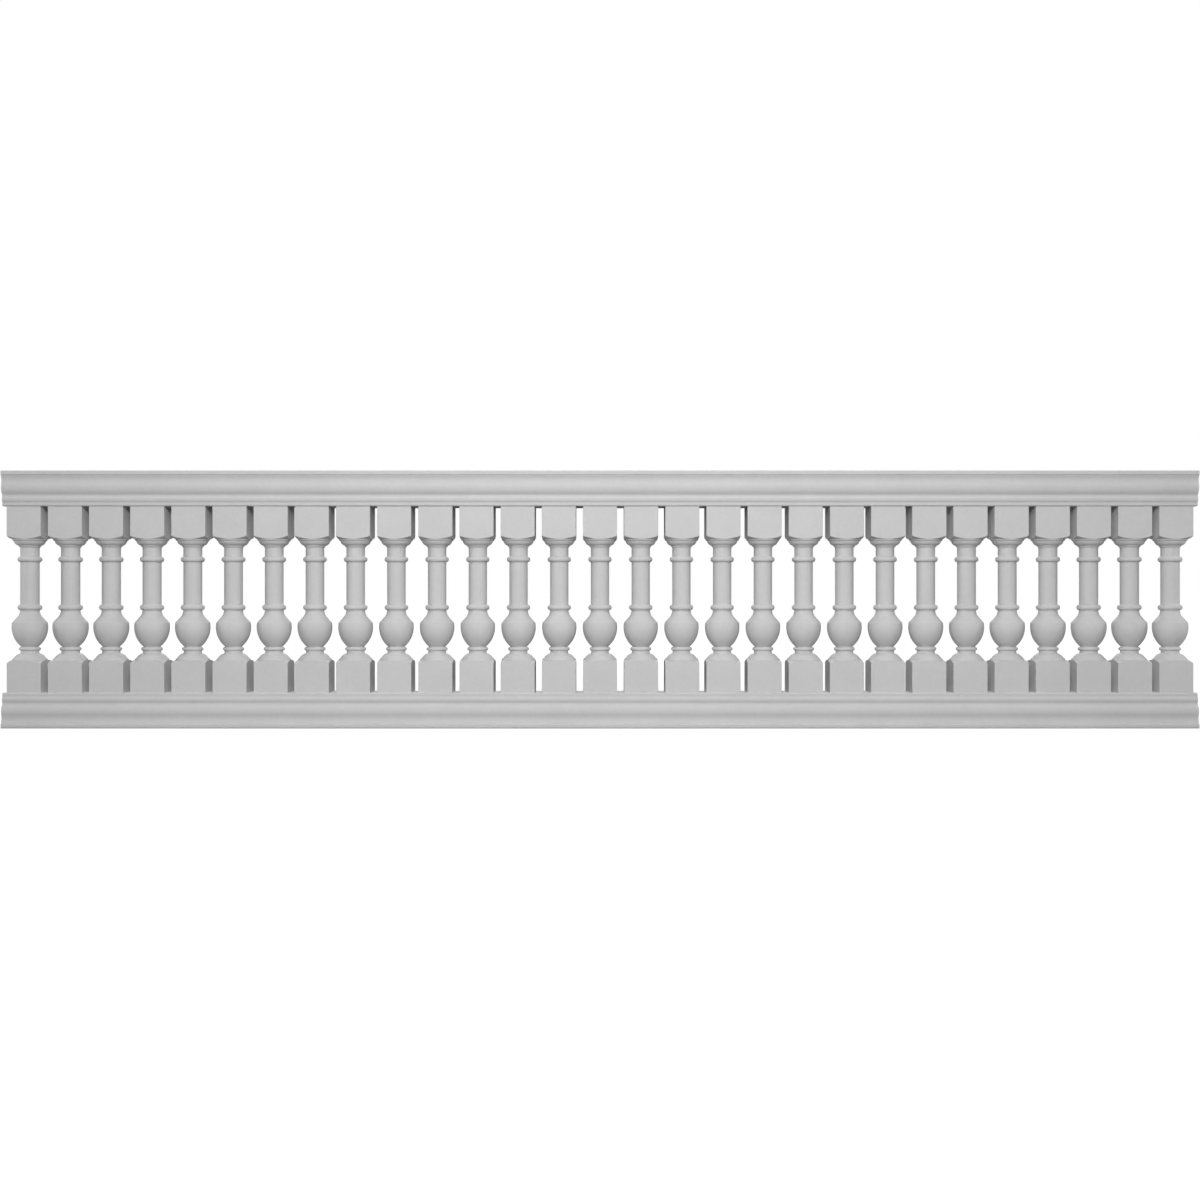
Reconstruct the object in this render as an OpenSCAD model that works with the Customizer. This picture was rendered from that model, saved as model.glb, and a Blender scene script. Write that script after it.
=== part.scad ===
// Stone balustrade, one bay: a moulded bottom rail and top rail with a row of turned
// balusters between them. Each baluster is threaded on a steel rod that stands in a
// socket in either rail. X runs along the rails, Y from front to back and Z up, with
// Z = 0 under the bottom rail and X = Y = 0 at the middle of the bay.

/* [Bay] */
// Length of both rails
rail_l = 3657.6; // [3200:0.1:5200]
// Balusters in the bay; half a space is left at each end, so that bays run on
baluster_count = 29; // [3:1:33]
// Height of a baluster, from rail to rail
baluster_h = 571.5; // [480:0.5:900]

/* [Rail] */
// Height of a rail
rail_h = 108; // [104:0.5:130]
// Width over the lip
rail_w = 142.5; // [138:0.5:170]
// Height of the lip
rail_lip_h = 14.2; // [8:0.1:18]
// Radius of the rounds on the lip's edges
rail_lip_r = 4; // [1:0.1:7]
// How far the face that the balusters stand against runs out past their blocks
rail_seat_out = 5.1; // [3:0.1:6]
// Radius of the round on that face's edge
rail_seat_r = 4.5; // [1:0.1:5]
// Height of the bead's middle above that face
rail_bead_z = 20.9; // [18:0.1:25]
// Radius of the bead
rail_bead_r = 13.5; // [11:0.5:18]
// How far the bead stands out
rail_bead_out = 3.5; // [2:0.1:5]
// Radius of the hollow between the bead and the edge of that face
rail_seat_hollow_r = 5.7; // [3:0.1:7]
// Radius of the hollow between the bead and the ovolo
rail_hollow_r = 9.5; // [5:0.5:12]
// Height of the ovolo's nose above the face against the balusters
rail_nose_z = 57.5; // [53:0.5:60]
// Width over the ovolo's nose
rail_nose_w = 135.3; // [125:0.1:138]
// Radius of the ovolo
rail_ovolo_r = 31; // [28:0.5:45]
// How far the bottom of the cove lies in from the ovolo's nose
rail_cove_in = 3.5; // [1:0.1:12]
// Radius of the cove
rail_cove_r = 28; // [18:0.5:32]
// How far the lip stands out past the end of the cove
rail_lip_out = 2.7; // [1:0.1:4]

/* [Baluster blocks] */
// Width of the square blocks
block_w = 104.5; // [98:0.5:108]
// Height of a block at the middle of a face
block_h = 99; // [60:0.5:140]
// How much lower the block's corners end than the middle of its faces
shoulder_drop = 9.2; // [5:0.1:14]
// Radius of the turned shoulder
shoulder_r = 68; // [45:0.5:150]
// Radius of the round collar on the shoulder
collar_round_r = 6.6; // [4:0.1:8]
// How far the collar stands back from the faces of the block
collar_back = 0.5; // [0.3:0.1:1.5]
// Radius of the small arris on stone edges
arris_r = 1.5; // [0.8:0.1:2]

/* [Baluster head] */
// How far the head's round stands back from the edge of the collar over it
head_back = 5.2; // [3:0.1:8]
// Height of the head's round
head_round_h = 13.8; // [11:0.1:16]
// Radius of the head's round, seen from the front
head_round_r = 17.5; // [13:0.1:30]
// Radius of the strip under the head's round
head_fillet_r = 32.6; // [31:0.1:34]
// Height of that strip and the cove under it together
head_fillet_h = 8.2; // [6.5:0.1:14]
// Radius of the straight shaft
shaft_r = 28.4; // [26.5:0.1:30]
// Radius of the small coves at the head and the neck
cove_r = 5; // [4.4:0.1:6]

/* [Baluster astragals] */
// Radius of an astragal's bead
astragal_r = 8.7; // [7.8:0.1:12]
// Reach of an astragal past the shaft
astragal_out = 7.8; // [4:0.1:9]
// Middle of the top astragal, below the collar of the upper block
astragal_top_down = 56.2; // [48:0.1:90]
// Middle of the lower astragal, above the place where the vase's neck turns hollow
astragal_low_up = 28.8; // [26:0.1:50]

/* [Baluster vase] */
// Largest radius of the vase
vase_r = 53.4; // [48:0.1:56]
// Height of the vase's widest place above the bead under it
vase_up = 67.2; // [60:0.1:76]
// Radius of the vase's side, seen from the front
vase_side_r = 79; // [72:0.5:90]
// Height of the vase's neck above its widest place, to where its slope turns hollow
slope_up = 31.9; // [28:0.1:40]
// Radius of the vase where its slope turns hollow
slope_r = 36.5; // [33:0.1:40]
// Angle of the slope from upright
slope_angle = 41; // [36:0.5:46]

/* [Baluster foot] */
// Radius of the waist under the vase
waist_r = 25.6; // [22:0.1:30]
// Middle of the bead under the vase, above the collar of the lower block
bead_up = 27.6; // [25:0.1:40]
// Radius of that bead
bead_r = 5.4; // [4.6:0.1:6]
// Reach of that bead past the neck
bead_out = 5.2; // [4:0.1:6]
// Radius of the neck over the foot
neck_r = 27.4; // [26.8:0.1:28.2]
// How far the foot's round stands back from the edge of the collar under it
foot_back = 4.9; // [3:0.1:8]
// Height of the foot's round, from the collar to the cove
foot_round_h = 13; // [10:0.1:14]
// Radius of the foot's round, seen from the front
foot_round_r = 33; // [22:0.5:60]

/* [Rods] */
// Diameter of a steel rod
rod_d = 23.5; // [12:0.1:30]
// How far a rod stands out of either end of its baluster
rod_out = 35.6; // [15:0.1:60]
// Gap between a rod and the stone round it
rod_gap = 0.3; // [0.2:0.05:0.8]
// Gap between the end of a rod and the end of its socket
rod_end_gap = 0.3; // [0.2:0.05:0.8]

/* [Hidden] */
$fn = 96;
// How far shapes that are joined run into each other
OVERLAP = 1;
// How far a hollow runs into the round or flat face that it blends with
BLEND = 0.02;
// How far the cove over the foot cuts into the foot's round
FOOT_CUT = 0.3;
STONE = [0.80, 0.80, 0.80];
STEEL = [0.60, 0.61, 0.62];

pitch = rail_l / baluster_count;
seat_low_z = rail_h;
seat_top_z = rail_h + baluster_h;
bore_r = rod_d / 2 + rod_gap;
socket_depth = rod_out + rod_end_gap;
rod_l = baluster_h + 2 * rod_out;

corner_r = block_w / sqrt(2);
collar_c = [block_w / 2 - collar_back - collar_round_r, block_h];
collar_top_z = block_h + collar_round_r;
bead_z = collar_top_z + bead_up;
vase_z = bead_z + vase_up;
slope_z = vase_z + slope_up;
astragal_low_z = slope_z + astragal_low_up;
collar_x = collar_c.x + collar_round_r;
head_top_z = baluster_h - collar_top_z;
astragal_top_z = head_top_z - astragal_top_down;
head_fillet_z = head_top_z - head_round_h;
head_cove_z = head_fillet_z - head_fillet_h;

function two_digits(n) = n < 10 ? str("0", n) : str(n);
BALUSTERS = [for (i = [1 : baluster_count]) str("baluster_", two_digits(i))];

// Place along the bay of baluster number i
function baluster_x(i) = (i - (baluster_count + 1) / 2) * pitch;

// Centre of an arc of radius r that bulges away from the axis, from point p up to point q
function arc_centre(p, q, r) =
    let (way = q - p, half = norm(way) / 2)
    (p + q) / 2 + sqrt(r * r - half * half) * [-way.y, way.x] / norm(way);

// Point at p_r from p and q_r from q, on the side away from the axis, with q above p
function meeting_point(p, p_r, q, q_r) =
    let (way = q - p, l = norm(way), along = (p_r * p_r - q_r * q_r + l * l) / (2 * l))
    p + (along * way + sqrt(p_r * p_r - along * along) * [way.y, -way.x]) / l;

// Disc of radius r, drawn to the right of the axis only
module disc(centre, r) {
    intersection() {
        translate(centre) circle(r);
        translate([0, centre.y - r]) square([centre.x + r, 2 * r]);
    }
}

// Strip from the axis out to radius r, between two heights
module strip(r, low, high) {
    translate([0, low]) square([r, high - low]);
}

// Rectangle from the axis out to x, with its outer corners rounded
module rounded_strip(x, low, high, low_r, high_r) {
    strip(x - max(low_r, high_r), low, high);
    strip(x, low + low_r, high - high_r);
    translate([x - low_r, low + low_r]) circle(low_r);
    translate([x - high_r, high - high_r]) circle(high_r);
}

// Stone in the notch between two other shapes, up to a hollow round c of radius r
module hollowed(notch, c, r) {
    difference() {
        polygon(notch);
        translate(c) circle(r);
    }
}

// Half of the rail's section, from the face against the balusters up to the lip
module rail_half_outline() {
    seat_x = block_w / 2 + rail_seat_out;
    seat_r = min(rail_seat_r, rail_seat_out);
    lip_r = min(rail_lip_r, rail_lip_h / 2 - OVERLAP);
    bead_c = [seat_x + rail_bead_out - rail_bead_r, rail_bead_z];
    ovolo_c = [rail_nose_w / 2 - rail_ovolo_r, rail_nose_z];
    seat_hollow_x = seat_x + rail_seat_hollow_r - BLEND;
    seat_hollow_reach = rail_bead_r + rail_seat_hollow_r - BLEND;
    seat_hollow_drop = sqrt(pow(seat_hollow_reach, 2) - pow(seat_hollow_x - bead_c.x, 2));
    seat_hollow_c = [seat_hollow_x, rail_bead_z - seat_hollow_drop];
    hollow_c = meeting_point(
        bead_c, rail_bead_r + rail_hollow_r - BLEND,
        ovolo_c, rail_ovolo_r + rail_hollow_r - BLEND);
    reach = rail_ovolo_r + rail_cove_r - BLEND;
    across = rail_ovolo_r + rail_cove_r - rail_cove_in;
    cove_c = ovolo_c + [across, sqrt(pow(reach, 2) - pow(across, 2))];
    turn = ovolo_c + (cove_c - ovolo_c) * rail_ovolo_r / reach;
    strip(ovolo_c.x, OVERLAP, rail_h - OVERLAP);
    rounded_strip(seat_x, 0, rail_bead_z, seat_r, arris_r);
    disc(bead_c, rail_bead_r);
    disc(ovolo_c, rail_ovolo_r);
    hollowed([bead_c, [bead_c.x, seat_hollow_c.y], seat_hollow_c],
        seat_hollow_c, rail_seat_hollow_r);
    hollowed([bead_c, hollow_c, ovolo_c], hollow_c, rail_hollow_r);
    difference() {
        strip(rail_w / 2 - rail_lip_out, turn.y, rail_h - OVERLAP);
        translate(cove_c) circle(rail_cove_r);
    }
    rounded_strip(rail_w / 2, rail_h - rail_lip_h, rail_h, lip_r, lip_r);
}

// Rail lying along X with its seat at Z = 0 and its lip above
module rail() {
    difference() {
        rotate([90, 0, 90])
            linear_extrude(rail_l, center = true)
                union() {
                    rail_half_outline();
                    mirror([1, 0]) rail_half_outline();
                }
        for (i = [1 : baluster_count])
            translate([baluster_x(i), 0, -OVERLAP])
                cylinder(r = bore_r, h = socket_depth + OVERLAP);
    }
}

module bottom_rail() {
    color(STONE) translate([0, 0, seat_low_z]) mirror([0, 0, 1]) rail();
}

module top_rail() {
    color(STONE) translate([0, 0, seat_top_z]) rail();
}

// Square of the block's width with rounded arrises
module block_outline() {
    flat = block_w - 2 * arris_r;
    square([flat, block_w], center = true);
    square([block_w, flat], center = true);
    for (x = [-1, 1], y = [-1, 1])
        translate([x, y] * flat / 2) circle(arris_r);
}

// Outline of the turning that rounds the shoulder of a block
module shoulder_outline() {
    corner = [corner_r, block_h - shoulder_drop];
    shoulder_c = arc_centre(corner, [block_w / 2, block_h], shoulder_r);
    strip(corner_r + OVERLAP, 0, corner.y - OVERLAP);
    strip(collar_c.x, 0, block_h);
    intersection() {
        disc(shoulder_c, shoulder_r);
        strip(block_w, 0, collar_top_z);
    }
}

// Square block with a turned shoulder, standing on Z = 0
module block() {
    intersection() {
        linear_extrude(collar_top_z) block_outline();
        rotate_extrude() shoulder_outline();
    }
}

// Round collar on a shoulder
module collar_outline() {
    strip(collar_c.x, block_h - OVERLAP, collar_top_z);
    strip(collar_x, block_h - OVERLAP / 2, block_h);
    intersection() {
        disc(collar_c, collar_round_r);
        strip(block_w, block_h, collar_top_z);
    }
}

// Turned part between the blocks, from the foot up
module turned_outline() {
    head_c = arc_centre(
        [head_fillet_r, head_fillet_z],
        [collar_x - head_back, head_top_z],
        head_round_r);
    foot_c = arc_centre(
        [collar_x - foot_back, collar_top_z],
        [neck_r + cove_r, collar_top_z + foot_round_h],
        foot_round_r);
    neck_z = collar_top_z + foot_round_h + cove_r - FOOT_CUT;
    vase_c = [vase_r - vase_side_r, vase_z];
    sweep_r = (slope_r - shaft_r) / (1 - cos(slope_angle));
    sweep_c = [shaft_r + sweep_r, slope_z + sweep_r * sin(slope_angle)];
    strip(neck_r, 0, bead_z);
    strip(waist_r, bead_z, vase_z);
    strip(shaft_r, vase_z, baluster_h);
    collar_outline();
    difference() {
        intersection() {
            disc(foot_c, foot_round_r);
            strip(block_w, block_h, neck_z);
        }
        translate([neck_r + cove_r - BLEND, neck_z]) circle(cove_r);
    }
    disc([neck_r + bead_out - bead_r, bead_z], bead_r);
    intersection() {
        disc(vase_c, vase_side_r);
        polygon([
            [0, bead_z],
            [slope_r + (slope_z - bead_z) * tan(slope_angle), bead_z],
            [0, slope_z + slope_r / tan(slope_angle)]]);
    }
    difference() {
        strip(slope_r, slope_z - BLEND, sweep_c.y);
        translate(sweep_c) circle(sweep_r + BLEND);
    }
    for (z = [astragal_low_z, astragal_top_z])
        disc([shaft_r + astragal_out - astragal_r, z], astragal_r);
    difference() {
        strip(head_fillet_r, head_cove_z, head_top_z);
        translate([shaft_r + cove_r - BLEND, head_cove_z]) circle(cove_r);
    }
    disc(head_c, head_round_r);
    translate([0, baluster_h]) mirror([0, 1]) collar_outline();
}

module baluster(i) {
    color(STONE)
        translate([baluster_x(i), 0, seat_low_z])
            difference() {
                union() {
                    block();
                    rotate_extrude() turned_outline();
                    translate([0, 0, baluster_h]) mirror([0, 0, 1]) block();
                }
                translate([0, 0, -OVERLAP])
                    cylinder(r = bore_r, h = baluster_h + 2 * OVERLAP);
            }
}

// One steel rod to each baluster; its foot stands on the floor of the bottom rail's socket
module steel_rods() {
    color(STEEL)
        for (i = [1 : baluster_count])
            translate([baluster_x(i), 0, seat_low_z - socket_depth])
                cylinder(d = rod_d, h = rod_l);
}

bottom_rail();
top_rail();
steel_rods();
for (i = [1 : baluster_count])
    baluster(i);
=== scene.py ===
import math

import bpy
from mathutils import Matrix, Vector


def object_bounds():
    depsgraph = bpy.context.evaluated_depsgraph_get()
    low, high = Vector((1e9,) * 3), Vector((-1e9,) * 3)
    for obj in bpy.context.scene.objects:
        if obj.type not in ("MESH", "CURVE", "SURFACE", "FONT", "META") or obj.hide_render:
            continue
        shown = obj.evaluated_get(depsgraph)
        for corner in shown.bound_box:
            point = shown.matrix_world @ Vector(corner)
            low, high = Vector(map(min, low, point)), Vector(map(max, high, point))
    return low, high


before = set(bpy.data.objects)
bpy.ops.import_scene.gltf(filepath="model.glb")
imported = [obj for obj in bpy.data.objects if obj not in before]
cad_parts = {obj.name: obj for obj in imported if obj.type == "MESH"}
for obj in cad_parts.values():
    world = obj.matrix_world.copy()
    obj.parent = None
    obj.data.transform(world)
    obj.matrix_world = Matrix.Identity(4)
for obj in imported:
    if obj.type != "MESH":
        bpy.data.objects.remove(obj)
CAD_LOW, CAD_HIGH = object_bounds()

# Sizes are in metres. These are taken from the bay itself
BAY_LENGTH = CAD_HIGH[0] - CAD_LOW[0]
BAY_HEIGHT = CAD_HIGH[2] - CAD_LOW[2]
BALUSTERS = [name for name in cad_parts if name.startswith("baluster")]
SPACING = BAY_LENGTH / len(BALUSTERS)

# The camera looks level from in front, at about half the bay's height
CAMERA_DISTANCE = 4.6434
CAMERA_HEIGHT = 0.3922
LENS_MM = 44.97
SENSOR_MM = 36.0

# Colours as a share of the light that they send back
STONE_GREY = (0.62, 0.62, 0.62)
ZINC_GREY = (0.46, 0.47, 0.475)
WHITE = (1.0, 1.0, 1.0)

# Tone of a casting against the stone's grey: the rails are all one, and each baluster lies
# somewhere between the darkest and the lightest. The batch sets which baluster gets which
RAIL_TONE = 0.985
DARKEST_BALUSTER = 1.005
BALUSTER_SPREAD = 0.024
BATCH = 40.0

# What shows in the cast stone: how far across it is, and how much it changes the tone
CLOUD_SIZE = 0.11
CLOUD_TONE = 0.10
MOTTLE_SIZE = 0.016
MOTTLE_TONE = 0.08
SAND_SIZE = 0.0011
SAND_TONE = 0.3

# How matte the stone is, and how much the mottle changes that
STONE_ROUGHNESS = 0.84
MOTTLE_ROUGHNESS = 0.12
STONE_GLOSS = 0.3

# The skin of the casting: slow waves, sand grain, and small air holes in a share of the
# cells that the skin is divided into. A hole's radius never quite reaches 0, because it
# is divided by
WAVE_SIZE = 0.035
WAVE_DEPTH = 0.0006
SAND_DEPTH = 0.00022
HOLE_SPACING = 0.024
HOLE_SHARE = 0.3
HOLE_RADIUS = 0.0016
HOLE_DEPTH = 0.0006
# Share by which the holes' insides are painted darker: painted shade in the recesses
HOLE_SHADE = 0.25
LEAST_RADIUS = 0.00001

# The zinc on the rods: flat crystals, with a dull bloom over them
CRYSTAL_SIZE = 0.007
CRYSTAL_TONE = 0.14
CRYSTAL_ROUGHNESS = 0.12
CRYSTAL_DEPTH = 0.00003
BLOOM_SIZE = 0.03
BLOOM_TONE = 0.12
BLOOM_ROUGHNESS = 0.1
ZINC_TONE = 0.93
ZINC_METALLIC = 0.9
ZINC_ROUGHNESS = 0.42

# The floor is pale to the eye, but sends less light up under the mouldings. To the eye it
# is lifted to white, by more where the lamps don't reach, so only the bay's shadow shows
FLOOR_PALE = (0.45, 0.45, 0.45)
FLOOR_BOUNCE = (0.26, 0.26, 0.26)
FLOOR_SIZE = 80.0
LIFT_NEAR = 0.68
LIFT_FAR = 0.88
LIFT_REACH = 4.0

# Even light from all round, as a share of white
SKY_FILL = 0.22

# Where the soft lamps stand, and their watts
LAMP_SIZE = 0.6
FRONT_LAMP = (0.0, -4.5, 2.0)
FRONT_WATTS = 137.0
HIGH_LAMP = (0.0, -2.4, 3.2)
HIGH_WATTS = 20.5
END_LAMP_OUT = 4.6
END_LAMP_HEIGHT = 1.1
END_WATTS = 28.0

# The light from behind comes from far off: its slope counts, and its distance doesn't
BACK_STRENGTH = 1.3
BACK_SLOPE = math.radians(28.0)
BACK_SOFTNESS = math.radians(10.0)
BACK_DISTANCE = 4.0


class Value:
    """An output of a node. Arithmetic on it adds the Math nodes."""

    def __init__(self, finish, socket):
        self.finish = finish
        self.socket = socket

    def maths(self, operation, first, second):
        return self.finish.node(
            "ShaderNodeMath", {"operation": operation}, {0: first, 1: second})

    def __add__(self, other):
        return self.maths("ADD", self, other)

    __radd__ = __add__

    def __sub__(self, other):
        return self.maths("SUBTRACT", self, other)

    def __rsub__(self, other):
        return self.maths("SUBTRACT", other, self)

    def __mul__(self, other):
        return self.maths("MULTIPLY", self, other)

    __rmul__ = __mul__

    def __truediv__(self, other):
        return self.maths("DIVIDE", self, other)

    def __rtruediv__(self, other):
        return self.maths("DIVIDE", other, self)


class Finish:
    """The nodes of a material or of the world, added one by one."""

    def __init__(self, owner):
        owner.use_nodes = True
        self.tree = owner.node_tree
        self.tree.nodes.clear()

    def node(self, kind, settings=None, inputs=None, output=0):
        """Adds a node, sets it, fills or links its sockets and returns an output."""
        made = self.tree.nodes.new(kind)
        for name, setting in (settings or {}).items():
            setattr(made, name, setting)
        for name, given in (inputs or {}).items():
            socket = self.find(made, name)
            if isinstance(given, Value):
                self.tree.links.new(given.socket, socket)
            elif socket.type == "RGBA":
                socket.default_value = (*given, 1.0)
            else:
                socket.default_value = given
        if made.outputs:
            return Value(self, made.outputs[output])

    @staticmethod
    def find(made, name):
        """An input by its number, its identifier or its name."""
        if isinstance(name, int):
            return made.inputs[name]
        for socket in made.inputs:
            if socket.identifier == name:
                return socket
        return made.inputs[name]

    def place(self):
        """The point on the piece, in metres in the bay's own frame."""
        return self.node("ShaderNodeTexCoord", output="Object")

    def noise(self, place, size, detail=2.0, roughness=0.5):
        """Noise from about -0.5 to 0.5, with lumps about size metres across."""
        return self.node("ShaderNodeTexNoise", {}, {
            "Vector": place,
            "Scale": 1.0 / size,
            "Detail": detail,
            "Roughness": roughness}) - 0.5

    def scaled(self, colour, factor):
        """A colour times a value."""
        return self.node("ShaderNodeVectorMath", {"operation": "SCALE"}, {
            "Vector": colour, "Scale": factor})

    def blend(self, factor, first, second):
        """A colour from the first, at factor 0, to the second, at factor 1."""
        return self.node("ShaderNodeMix", {"data_type": "RGBA"}, {
            "Factor_Float": factor, "A_Color": first, "B_Color": second}, output=2)

    def clamp(self, value, low=0.0, high=1.0):
        return self.node("ShaderNodeClamp", {}, {"Value": value, "Min": low, "Max": high})

    def bump(self, height, depth, under=None):
        """A bump where a height of 1 stands for depth metres, over the bump under it."""
        sockets = {"Height": height, "Distance": depth}
        if under is not None:
            sockets["Normal"] = under
        return self.node("ShaderNodeBump", {}, sockets)

    def surface(self, shader):
        self.node("ShaderNodeOutputMaterial", {}, {"Surface": shader})


def air_holes(made, place):
    """Depth, from 0 to 1, of small round holes. Most cells of the skin have none."""
    cell = {"Vector": place, "Scale": 1.0 / HOLE_SPACING}
    from_middle = made.node("ShaderNodeTexVoronoi", {}, cell) * HOLE_SPACING
    lot = made.node("ShaderNodeSeparateColor", {}, {
        "Color": made.node("ShaderNodeTexVoronoi", {}, cell, output="Color")})
    radius = made.clamp(lot - (1.0 - HOLE_SHARE)) / HOLE_SHARE * HOLE_RADIUS
    return made.clamp(1.0 - from_middle / (radius + LEAST_RADIUS))


def cast_stone(name, casting_tone):
    """Fine cast stone: light grey and matte, with sand grain, faint clouds and air holes,
    whose insides are painted darker as shade.
    """
    material = bpy.data.materials.new(name)
    made = Finish(material)
    place = made.place()
    clouds = made.noise(place, CLOUD_SIZE, detail=3.0)
    mottle = made.noise(place, MOTTLE_SIZE, detail=3.0, roughness=0.6)
    sand = made.noise(place, SAND_SIZE, detail=1.0, roughness=0.6)
    holes = air_holes(made, place)
    tone = casting_tone(made, place) + CLOUD_TONE * clouds + MOTTLE_TONE * mottle
    # The air holes are also painted darker inside here, as painted shade
    tone = tone + SAND_TONE * sand - HOLE_SHADE * holes
    skin = made.bump(made.noise(place, WAVE_SIZE), WAVE_DEPTH)
    skin = made.bump(sand, SAND_DEPTH, skin)
    skin = made.bump(1.0 - holes, HOLE_DEPTH, skin)
    made.surface(made.node("ShaderNodeBsdfPrincipled", {}, {
        "Base Color": made.scaled(STONE_GREY, tone),
        "Roughness": STONE_ROUGHNESS + MOTTLE_ROUGHNESS * mottle,
        "Specular IOR Level": STONE_GLOSS,
        "Normal": skin}))
    return material


def tone_of_rail(made, place):
    """A rail is one casting, so its tone is the same from end to end."""
    return RAIL_TONE


def tone_of_baluster(made, place):
    """Each baluster is a casting of its own, a hair lighter or darker than the next."""
    along = made.node("ShaderNodeSeparateXYZ", {}, {"Vector": place}, output="X")
    number = made.node(
        "ShaderNodeMath", {"operation": "FLOOR"}, {0: along / SPACING + 0.5})
    lot = made.node(
        "ShaderNodeTexWhiteNoise", {"noise_dimensions": "1D"}, {"W": number + BATCH})
    return DARKEST_BALUSTER + BALUSTER_SPREAD * lot


def galvanised_steel():
    """Dull zinc with faint flat crystals, each a little lighter or darker than the next."""
    material = bpy.data.materials.new("galvanised_steel")
    made = Finish(material)
    place = made.place()
    crystal = made.node("ShaderNodeSeparateColor", {}, {
        "Color": made.node("ShaderNodeTexVoronoi", {}, {
            "Vector": place, "Scale": 1.0 / CRYSTAL_SIZE}, output="Color")})
    bloom = made.noise(place, BLOOM_SIZE, detail=3.0)
    tone = ZINC_TONE + CRYSTAL_TONE * crystal + BLOOM_TONE * bloom
    made.surface(made.node("ShaderNodeBsdfPrincipled", {}, {
        "Base Color": made.scaled(ZINC_GREY, tone),
        "Metallic": ZINC_METALLIC,
        "Roughness": ZINC_ROUGHNESS + CRYSTAL_ROUGHNESS * crystal + BLOOM_ROUGHNESS * bloom,
        "Normal": made.bump(crystal, CRYSTAL_DEPTH)}))
    return material


def give(piece, material):
    """Sets one material, in a slot of its own, on all of a piece's faces."""
    piece.data.materials.clear()
    piece.data.materials.append(material)
    for face in piece.data.polygons:
        face.material_index = 0


def seen(made):
    """1 where the camera looks, also by a reflection or through glass, and 0 elsewhere."""
    paths = [made.node("ShaderNodeLightPath", output=name)
             for name in ("Is Camera Ray", "Is Glossy Ray", "Is Transmission Ray")]
    return made.clamp(paths[0] + paths[1] + paths[2])


def studio():
    """White behind the bay to the eye, and even light from all round on it."""
    world = bpy.data.worlds.new("studio")
    made = Finish(world)
    fill = made.node("ShaderNodeBackground", {}, {"Color": WHITE, "Strength": SKY_FILL})
    white = made.node("ShaderNodeBackground", {}, {"Color": WHITE, "Strength": 1.0})
    either = made.node("ShaderNodeMixShader", {}, {0: seen(made), 1: fill, 2: white})
    made.node("ShaderNodeOutputWorld", {}, {"Surface": either})
    bpy.context.scene.world = world


def floor_paint():
    """Paint that keeps the bay's shadow and is lifted to white past it, to the eye alone."""
    material = bpy.data.materials.new("pale_floor")
    made = Finish(material)
    paint = made.node("ShaderNodeBsdfDiffuse", {}, {
        "Color": made.blend(seen(made), FLOOR_BOUNCE, FLOOR_PALE)})
    away = made.node(
        "ShaderNodeVectorMath", {"operation": "LENGTH"}, {0: made.place()}, "Value")
    lift = LIFT_NEAR + (LIFT_FAR - LIFT_NEAR) * made.clamp(away / LIFT_REACH)
    glow = made.node("ShaderNodeEmission", {}, {
        "Color": made.scaled(WHITE, lift), "Strength": seen(made)})
    made.surface(made.node("ShaderNodeAddShader", {}, {0: paint, 1: glow}))
    return material


def floor():
    """Pale floor under the bay, which stands on it."""
    half = FLOOR_SIZE / 2
    corners = [(-half, -half, 0), (half, -half, 0), (half, half, 0), (-half, half, 0)]
    mesh = bpy.data.meshes.new("floor")
    mesh.from_pydata(corners, [], [(0, 1, 2, 3)])
    mesh.materials.append(floor_paint())
    laid = bpy.data.objects.new("floor", mesh)
    bpy.context.scene.collection.objects.link(laid)


def stand(name, data, place, aim):
    """Stands a light in the scene and turns it towards a point."""
    stood = bpy.data.objects.new(name, data)
    stood.location = place
    towards = Vector(aim) - Vector(place)
    stood.rotation_euler = towards.to_track_quat("-Z", "Y").to_euler()
    bpy.context.scene.collection.objects.link(stood)


def lamp(name, place, watts):
    """A soft round lamp that faces the middle of the bay."""
    light = bpy.data.lights.new(name, "AREA")
    light.shape = "DISK"
    light.size = LAMP_SIZE
    light.energy = watts
    stand(name, light, place, (0.0, 0.0, BAY_HEIGHT / 2))


def back_light():
    """Even light from behind. It comes straight at the bay, so it passes the blocks' sides."""
    light = bpy.data.lights.new("back_light", "SUN")
    light.energy = BACK_STRENGTH
    light.angle = BACK_SOFTNESS
    place = (0.0, BACK_DISTANCE, BACK_DISTANCE * math.tan(BACK_SLOPE))
    stand("back_light", light, place, (0.0, 0.0, 0.0))


def camera():
    """The photograph's view: level, and square on to the bay."""
    lens = bpy.data.cameras.new("camera")
    lens.lens = LENS_MM
    lens.sensor_width = SENSOR_MM
    stood = bpy.data.objects.new("camera", lens)
    stood.location = (0.0, -CAMERA_DISTANCE, CAMERA_HEIGHT)
    stood.rotation_euler = (math.radians(90.0), 0.0, 0.0)
    bpy.context.scene.collection.objects.link(stood)
    bpy.context.scene.camera = stood


camera()
studio()
floor()
lamp("front_lamp", FRONT_LAMP, FRONT_WATTS)
lamp("high_lamp", HIGH_LAMP, HIGH_WATTS)
for side in (-1, 1):
    lamp("end_lamp", (side * END_LAMP_OUT, 0.0, END_LAMP_HEIGHT), END_WATTS)
back_light()

rail_stone = cast_stone("rail_stone", tone_of_rail)
baluster_stone = cast_stone("baluster_stone", tone_of_baluster)
zinc = galvanised_steel()
give(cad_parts["bottom_rail"], rail_stone)
give(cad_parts["top_rail"], rail_stone)
give(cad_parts["steel_rods"], zinc)
for name in BALUSTERS:
    give(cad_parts[name], baluster_stone)

bpy.context.scene.view_settings.view_transform = "Standard"
